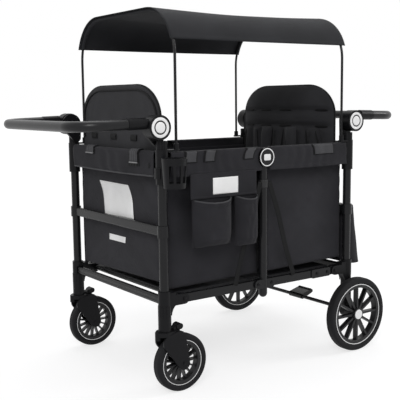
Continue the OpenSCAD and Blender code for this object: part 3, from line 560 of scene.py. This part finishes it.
flap = make_piece("organizer_flap", shell(flap_point, 80, 30, 0.002), cloth_look, None)
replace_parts(flap, "organizer")
pieces = [flap]
for name, low, high, deep in (("organizer_wide_pocket", (-0.294, 0.441), (-0.148, 0.587), 0.039),
                              ("organizer_narrow_pocket", (-0.131, 0.429), (-0.044, 0.587), 0.03)):
    pocket = make_piece(name, shell(lambda u, v: pocket_point(low, high, deep, u, v), 56, 56, 0.0016),
                        cloth_look, None)
    wide, tall = high[0] - low[0], high[1] + 0.008 - low[1]

    def pocket_back_point(u, v):
        return Vector((low[0] + wide * u + mid_x, -0.3070, low[1] + tall * v))
    back = make_piece(name + "_back", shell(pocket_back_point, 20, 24, 0.0012), cloth_look, None)

    # A roll along each pocket's hemmed mouth, lighter than the pocket: its lighter colour is a painted
    # highlight.
    def rim_point(u, v):
        way = 2 * math.pi * u
        return pocket_point(low, high, deep, 0.02 + 0.96 * v, 1.0) + Vector(
            (0, -0.0024 * math.cos(way), 0.0024 * math.sin(way)))
    rim = make_piece(name + "_rim", shell(rim_point, 12, 48, 0.0005, closed=True), tab_and_highlight_look, None)
    pieces += [pocket, back, rim]


def organizer_patch_point(u, v):
    return flap_point(0.33 + 0.38 * u, 0.14 + 0.66 * v) + Vector((0, -0.0013, 0))


patch = make_piece("organizer_patch", shell(organizer_patch_point, 24, 16, 0.0006), patch_look, None)
for piece in pieces + [patch]:
    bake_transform(piece)


# Canopy cover: one curved sheet of coated cloth over the two wire arches, sagging a little between
# them, with a stitched hem along its sides and overhanging ends.
def canopy_point(u, v):
    radius, flat_half, spring = 0.1449, 0.1555, 1.01975
    start = math.asin((1.064 - spring) / radius)
    arc = radius * (math.pi / 2 - start)
    total = 2 * arc + 2 * flat_half
    along = min(max(v, 0), 1) * total
    if arc <= along <= arc + 2 * flat_half:
        y, z, out = -flat_half + along - arc, spring + radius, (0, 1)
    else:
        side, way = (-1, along) if along < arc else (1, total - along)
        turn = start + way / radius
        out = (side * math.cos(turn), math.sin(turn))
        y, z = side * flat_half + radius * out[0], spring + radius * out[1]
    x = -0.352 + 0.712 * u
    t = (x + 0.338) / 0.684
    edge = min(v, 1 - v)
    sag = 0.05 * abs(t - round(t))
    if 0 < t < 1:
        sag = 0.009 * math.sin(math.pi * t) * (0.35 + 0.65 * min(edge / 0.3, 1))
    ripple = 0.0012 * noise.noise(Vector((x * 5, y * 5, 3))) * math.sin(math.pi * min(max(t, 0), 1))
    hem = 0.0009 * (1 if edge < 0.018 or u < 0.014 or u > 0.986 else 0)
    shift = hem + ripple - sag
    return Vector((x + mid_x, y + out[0] * shift, z + out[1] * shift))


canopy = make_piece("canopy", shell(canopy_point, 110, 150, 0.0018), canopy_look, "front_frame")
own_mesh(canopy)
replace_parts(canopy, "canopy_cover")


# Padded seat backs and seats: woven covers over foam, sewn along the rim and cross seams. Each pad
# starts as a crowned closed form, held along its rim and seams, and is blown up by a short
# cloth run; how far a point may move is capped.
def pad(name, face, rear, across, along, held, body, look, cap):
    bm = bmesh.new()
    grids = [[[bm.verts.new(f(2 * i / across - 1, j / along)) for j in range(along + 1)]
              for i in range(across + 1)] for f in (face, rear)]
    for g in grids:
        for i in range(across):
            for j in range(along):
                bm.faces.new((g[i][j], g[i + 1][j], g[i + 1][j + 1], g[i][j + 1]))
    a, b = grids
    for i in range(across):
        for j in (0, along):
            bm.faces.new((a[i][j], a[i + 1][j], b[i + 1][j], b[i][j]))
    for j in range(along):
        for i in (0, across):
            bm.faces.new((a[i][j], a[i][j + 1], b[i][j + 1], b[i][j]))
    bm.verts.index_update()
    fixed = [v.index for row in b for v in row]
    fixed += [a[i][j].index for i in range(across + 1) for j in range(along + 1)
              if held(2 * i / across - 1, j / along) or i in (0, across) or j in (0, along)]
    piece = make_piece(name, bm, look, None)
    group = piece.vertex_groups.new(name="held")
    group.add(fixed, 1.0, "REPLACE")
    cloth = piece.modifiers.new("cloth", "CLOTH")
    cloth.settings.quality = 5
    cloth.settings.mass = 0.3
    cloth.settings.tension_stiffness = cloth.settings.compression_stiffness = 12
    cloth.settings.bending_stiffness = 0.4
    cloth.settings.use_pressure = True
    cloth.settings.uniform_pressure_force = 5
    cloth.settings.vertex_group_mass = "held"
    cloth.settings.effector_weights.gravity = 0
    cloth.collision_settings.use_collision = False
    run = 20
    cloth.point_cache.frame_start, cloth.point_cache.frame_end = 1, run
    for count in range(1, run + 1):
        bpy.context.scene.frame_set(count)
    blown = piece.evaluated_get(bpy.context.evaluated_depsgraph_get()).data
    moved = [v.co.copy() for v in blown.vertices]
    piece.modifiers.remove(cloth)
    piece.vertex_groups.remove(group)
    for v, goal in zip(piece.data.vertices, moved):
        step = goal - v.co
        v.co += step * min(1, cap / max(step.length, 1e-9))
    bpy.context.scene.frame_set(1)
    rounder = piece.modifiers.new("rounder", "SUBSURF")
    rounder.levels = rounder.render_levels = 1
    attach(piece, body)
    return piece


back_foot, back_tall, back_wide = 0.4845, 0.4505, 0.2485
shoulder_z, shoulder_wide, shoulder_tall = 0.936 - 0.102, 0.135, 0.102
seams, back_in = (0.845, 0.787), 0.0178
gather_top, gather_half, cushion_seams = 0.78, 0.9, (-0.34, 0.34)


def back_half(z):
    rise = z - shoulder_z
    if rise <= 0:
        return back_wide
    return back_wide - shoulder_wide + shoulder_wide * math.sqrt(max(0, 1 - (rise / shoulder_tall) ** 2))


def back_height(v):
    return back_foot + back_tall * (1 - (1 - v) ** 1.15)


def back_depth(u, z):
    v = (z - back_foot) / back_tall
    dip = sum(0.015 * max(0, 1 - abs(z - seam) / 0.014) for seam in seams) * (1 - u ** 8)
    gathered = z < gather_top and abs(u) < gather_half
    gather = 0.010 * ((1 + math.cos(u * 8 * math.pi)) / 2) ** 2 if gathered else 0
    return 0.009 + 0.027 * (1 - u ** 4) * (1 - abs(2 * v - 1) ** 7) - dip - gather


for end, word in ends:
    def face(u, v):
        z = back_height(v)
        return Vector((end * (post_x - back_in - back_depth(u, z)) + mid_x, u * back_half(z), z))

    def rear(u, v):
        z = back_height(v)
        return Vector((end * (post_x - back_in - 0.0035 * u ** 6) + mid_x, u * back_half(z), z))

    def held(u, v):
        z = back_height(v)
        gathered = z < gather_top and abs(u) < gather_half and math.cos(u * 8 * math.pi) > 0.97
        return gathered or min(abs(z - seam) for seam in seams) < 0.005
    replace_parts(pad(f"{word}_back_pad", face, rear, 64, 56, held, f"{word}_frame", seat_look, 0.009),
                f"{word}_seat_back")

    def seat_under(u, v, z=0.4468):
        y = (2 * v - 1) * (0.241 - 0.003 * (1 - u * u))
        return Vector((end * (post_x - 0.0685 - 0.1185 * (1 - u)) + mid_x, y, z))

    def seat_face(u, v):
        w = 2 * v - 1
        dip = 0.006 * sum(max(0, 1 - abs(w - c) / 0.05) for c in cushion_seams) * (1 - u ** 6)
        return seat_under(u, v, 0.4575 + 0.0085 * (1 - abs(u) ** 5) * (1 - abs(w) ** 5) - dip)

    def seat_held(u, v):
        return min(abs(2 * v - 1 - c) for c in cushion_seams) < 0.02
    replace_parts(pad(f"{word}_seat_pad", seat_face, seat_under, 36, 60, seat_held, f"seat_pan_{word}",
                    seat_look, 0.004),
                f"{word}_seat_cushion")


# Piping sewn round the rim of the seat backs, a welt on their rear faces, and the cloth tunnels that
# hold the canopy's arches. All are round tubes bent along two straight legs and two quarter turns.
def arch_tube(name, x, half, top, wide, bend, foot, radius, look, body, start=0.0):
    legs, turn, flat = top - bend - foot, (wide + bend) / 2 * (math.pi / 2 - start), 2 * (half - wide)
    total = 2 * (max(legs, 0) + turn) + flat

    def tube_point(u, v):
        at = min(max(v, 0), 1) * total
        mirrored = at > total / 2
        at = min(at, total - at)
        if at < legs:
            y, z, out = -half, foot + at, (-1, 0)
        elif at < max(legs, 0) + turn:
            angle = start + (at - max(legs, 0)) / turn * (math.pi / 2 - start)
            y, z = wide - half - wide * math.cos(angle), top - bend + bend * math.sin(angle)
            out = Vector((-bend * math.cos(angle), wide * math.sin(angle))).normalized()
        else:
            y, z, out = at - total / 2, top, (0, 1)
        way = 2 * math.pi * u
        y, z = y + out[0] * radius * math.cos(way), z + out[1] * radius * math.cos(way)
        return Vector((x + radius * math.sin(way), -y if mirrored else y, z))
    return make_piece(name, shell(tube_point, 14, 150, 0.0008, closed=True), look, body)


arch_bend, arch_top, tunnel_foot = 0.139, 1.15875, 1.066
for end, word, arch_in in ((1, "rear", 0.038), (-1, "front", 0.046)):
    arch_tube(f"{word}_back_piping", end * (post_x - 0.0235) + mid_x, half=0.2475, top=0.9335, wide=0.134,
              bend=0.101, foot=0.52, radius=0.0033, look=binding_and_shade_look, body=f"{word}_frame")
    arch_tube(f"{word}_back_welt", end * (post_x - 0.0176) + mid_x, half=0.2335, top=0.9195, wide=0.122,
              bend=0.09, foot=0.765, radius=0.0028, look=binding_and_shade_look, body=f"{word}_frame")
    arch_tube(f"{word}_arch_tunnel", end * (post_x - arch_in) + mid_x, half=0.2945, top=arch_top,
              wide=arch_bend, bend=arch_bend, foot=tunnel_foot, radius=0.0056, look=canopy_look,
              body=f"{word}_frame", start=math.asin((tunnel_foot - (arch_top - arch_bend)) / arch_bend))

# Harness of both seats: padded shoulder straps from the lower seam, thin webbing below them, and the
# bound slots that let the straps through on the seat backs' rear faces, all sewn to the cover.
harness_in = 0.0645
for end, word in ends:
    for side, side_word in sides:
        def shoulder_face(u, v):
            z = 0.785 - 0.205 * v
            y = side * (0.066 + 0.018 * v) + u * 0.026 * (1 - 0.12 * math.cos(math.pi * (2 * v - 1)))
            lift = 0.018 * (1 - u ** 4) * (1 - abs(2 * v - 1) ** 8)
            return Vector((end * (post_x - 0.0655 - lift) + mid_x, y, z))

        def shoulder_back(u, v):
            p = shoulder_face(u, v)
            return Vector((end * (post_x - harness_in) + mid_x, p.y, p.z))
        shoulder = pad(f"{word}_shoulder_pad_{side_word}", shoulder_face, shoulder_back, 12, 40,
                       lambda u, v: False, f"{word}_frame", seat_look, 0.003)
        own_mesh(shoulder)

        def web_point(u, v):
            z = 0.575 - 0.08 * v
            y = side * (0.0845 - 0.05 * v) + 0.0125 * (2 * u - 1)
            return Vector((end * (post_x - 0.0675 - 0.012 * v) + mid_x, y, z))
        web = make_piece(f"{word}_harness_web_{side_word}", shell(web_point, 10, 30, 0.0014), web_look,
                         f"{word}_frame")
    for count, y in enumerate((-0.1, 0.03, 0.16)):
        def slot_point(u, v):
            swell = 0.0022 * math.sin(math.pi * v)
            return Vector((end * (post_x - 0.0162 + swell) + mid_x, y + 0.018 * (2 * u - 1),
                           0.762 + 0.018 * v))
        edge = make_piece(f"{word}_slot_edge_{count}", shell(slot_point, 14, 12, 0.0018), binding_and_shade_look,
                          f"{word}_frame")

# Thin dark rolls that taper to their ends, laid along the two cross seams of the seat backs, where
# stitched tucking draws the pads in, and along folds of the gathered cloth below them. Their dark
# colour is painted shade in these seams and folds.
tuck_shades = ((0.72, 0.92), (0.28, 0.54), (-0.18, 0.10), (-0.9, -0.66))
crease_shades = ((0.80, 0.86), (0.545, 0.515), (0.35, 0.24), (-0.08, 0.0), (-0.26, -0.21), (-0.56, -0.6),
           (-0.76, -0.87))


def taper_roll(u, v):
    """The two offsets round the section of a roll that is 1 thick at most and tapers to its ends."""
    full, way = math.sqrt(max(0.0004, 1 - (2 * v - 1) ** 4)), 2 * math.pi * u
    return full * math.cos(way), full * math.sin(way)


for end, word in ends:
    for row, z in enumerate(seams):
        for count, (low, high) in enumerate(tuck_shades):
            # A dark roll set out a little from the seam's groove; its colour is painted shade in the seam.
            def tuck_shade_point(u, v):
                t, (out, up) = low + (high - low) * v, taper_roll(u, v)
                x = post_x - back_in - back_depth(t, z) - 0.0062 - 0.0016 * out
                return Vector((end * x + mid_x, t * back_half(z), z + 0.0036 * up))
            make_piece(f"{word}_tuck_{row}_{count}", shell(tuck_shade_point, 12, 24, 0.0005, closed=True),
                       binding_and_shade_look, f"{word}_frame")
    for count, (high, low) in enumerate(crease_shades):
        # A dark roll on a fold of the gathered cloth; its colour is painted shade in the fold.
        def crease_shade_point(u, v):
            t, z, (out, aside) = low + (high - low) * v, 0.69 + 0.084 * v, taper_roll(u, v)
            x = post_x - back_in - 0.0425 - 0.0016 * out
            return Vector((end * x + mid_x, t * back_half(z) + 0.0028 * aside, z))
        make_piece(f"{word}_crease_{count}", shell(crease_shade_point, 12, 24, 0.0005, closed=True), binding_and_shade_look,
                   f"{word}_frame")


# Cloth strip over the joint between the two floor boards, in two halves that are glued to the boards.
for end, word in ends:
    def strip_point(u, v):
        ripple = 0.0005 * math.cos(3 * math.pi * u)
        return Vector((mid_x + end * 0.035 * u, 0.252 * (2 * v - 1), 0.3011 + ripple))
    strip = make_piece(f"{word}_floor_strip", shell(strip_point, 16, 60, 0.0012), cloth_look, None)
    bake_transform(strip)


# Rear bag: a cloth pouch hung behind the middle rail, deepest near its foot, with an elastic top
# that gathers the cloth, and a flat back against the rail.
bag_foot, bag_tall = 0.3065, 0.198


def bag_point(u, v):
    t = 2 * u - 1
    foot = math.sqrt(min(max(v, 0) / 0.1, 1))
    side = math.sqrt(max(0, 1 - abs(t) ** 24))
    ruffle = 0.0016 * math.sin(70 * t) * max(0, v - 0.8) / 0.2
    hem = 0.0013 if v > 0.93 else 0
    deep = 0.103 - 0.045 * v + 0.004 * noise.noise(Vector((t * 4, v * 3, 8)))
    out = deep * foot * side + (ruffle + hem) * side
    droop = 0.044 * foot * (1 - max(v, 0)) * side
    return Vector((post_x + 0.0107 + max(out, 0) + mid_x, 0.271 * t, bag_foot + bag_tall * v - droop))


def bag_back_point(u, v):
    return Vector((0.3944 + mid_x, 0.2605 * (2 * u - 1), bag_foot + bag_tall * v))


bag = make_piece("rear_pouch", shell(bag_point, 110, 70, 0.0018), cloth_look, "rear_frame")
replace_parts(bag, "rear_bag")
back = make_piece("rear_pouch_back", shell(bag_back_point, 40, 30, 0.0012), cloth_look, "rear_frame")


# Turned trim of white moulded plastic, pressed in: rings and domed buttons in the handle hubs, ring
# and blank plate on the middle hubs, stripes and caps on the wheels. The heads of the pivot
# bolts are painted black.
def turned(name, centre, side, profile, look, body, steps=72):
    """A ring or cap turned about the y axis from (radius, outward y) points, closed into a loop."""
    bm = bmesh.new()
    x, z = centre
    points = [bm.verts.new((x + r, side * y, z)) for r, y in profile]
    hollow = profile[0][0] > 0
    edges = [bm.edges.new(pair) for pair in zip(points, points[1:] + (points[:1] if hollow else []))]
    bmesh.ops.spin(bm, geom=points + edges, cent=(x, 0, z), axis=(0, 1, 0), dvec=(0, 0, 0), angle=2 * math.pi,
                   steps=steps, use_merge=True, use_normal_flip=False, use_duplicate=False)
    bmesh.ops.remove_doubles(bm, verts=bm.verts, dist=1e-6)
    return make_piece(name, bm, look, body)


def ring(r0, r1, y0, y1, soft):
    return [(r0, y0), (r0, y1 - soft), (r0 + soft * 0.3, y1 - soft * 0.3), (r0 + soft, y1), (r1 - soft, y1),
            (r1 - soft * 0.3, y1 - soft * 0.3), (r1, y1 - soft), (r1, y0)]


def dome(r, y0, y1, soft):
    return [(0, y0), (r, y0), (r, y1 - soft), (r - soft * 0.3, y1 - soft * 0.35), (r - soft, y1 - soft * 0.08),
            (r * 0.5, y1), (0, y1)]


for end, word in ends:
    for side, side_word in sides:
        hub = (end * 0.402 + mid_x, 0.808)
        turned(f"{word}_hub_ring_{side_word}", hub, side, ring(0.0208, 0.0296, 0.3099, 0.3115, 0.0006),
               white_look, f"{word}_handle")
        button = turned(f"{word}_hub_button_{side_word}", hub, side, dome(0.0166, 0.2993, 0.3126, 0.0018),
                        white_look, f"button_{word}_{side_word}")
        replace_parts(button, f"{word}_button_{side_word}")

rear_axle, caster_axle, rail_z = (post_x + mid_x, 0.13), (-0.3255, 0.0895), 0.288
for side, side_word in sides:
    turned(f"mid_hub_ring_{side_word}", (mid_x, hub_z), side, ring(0.0259, 0.0291, 0.3089, 0.3104, 0.0005),
           white_look, "mid_frame")
    bm = bmesh.new()
    plate = Matrix.Translation((mid_x, side * 0.3107, hub_z)) @ Matrix.Diagonal((0.027, 0.0012, 0.02, 1))
    bmesh.ops.create_cube(bm, size=1, matrix=plate)
    uprights = [e for e in bm.edges if abs(e.verts[0].co.y - e.verts[1].co.y) > 0.001]
    bmesh.ops.bevel(bm, geom=uprights, offset=0.004, segments=6, profile=0.5, affect="EDGES", material=-1)
    rims = [e for e in bm.edges if e.calc_face_angle(0) > 1.2]
    bmesh.ops.bevel(bm, geom=rims, offset=0.0004, segments=2, profile=0.5, affect="EDGES", material=-1)
    make_piece(f"mid_hub_plate_{side_word}", bm, white_look, "mid_frame")
    for word, place, inner, outer, y0 in (("rear_wheel", rear_axle, 0.1051, 0.1076, 0.3355),
                                          ("caster_wheel", caster_axle, 0.0685, 0.0704, 0.287)):
        for face_word, sign in (("outer", 1), ("inner", -1)):
            profile = [(r, y0 + sign * y) for r, y in ring(inner, outer, 0.0129, 0.0138, 0.0004)]
            turned(f"{word}_stripe_{face_word}_{side_word}", place, side, profile, white_look,
                   f"{word}_{side_word}", 96)
    turned(f"rear_wheel_cap_{side_word}", rear_axle, side, dome(0.017, 0.3509, 0.3532, 0.001), white_look,
           f"rear_wheel_{side_word}")
    for word, place, y, body in (("front_pivot", (-0.313, rail_z), 0.3025, "front_frame"),
                                 ("rear_pivot", (0.323, rail_z), 0.3025, "rear_frame"),
                                 ("mid_pivot_front", (-0.023, rail_z), 0.3025, "mid_frame"),
                                 ("mid_pivot_rear", (0.033, rail_z), 0.3025, "mid_frame"),
                                 ("rail_bolt_near", (0.289, rail_z), 0.2994, "lower_rails_rear"),
                                 ("rail_bolt_far", (0.240, rail_z), 0.2994, "lower_rails_rear"),
                                 ("caster_bolt", caster_axle, 0.3134, f"fork_{side_word}")):
        turned(f"{word}_head_{side_word}", place, side, dome(0.0042, y - 0.0004, y + 0.0011, 0.0007),
               plastic_look, body, 24)
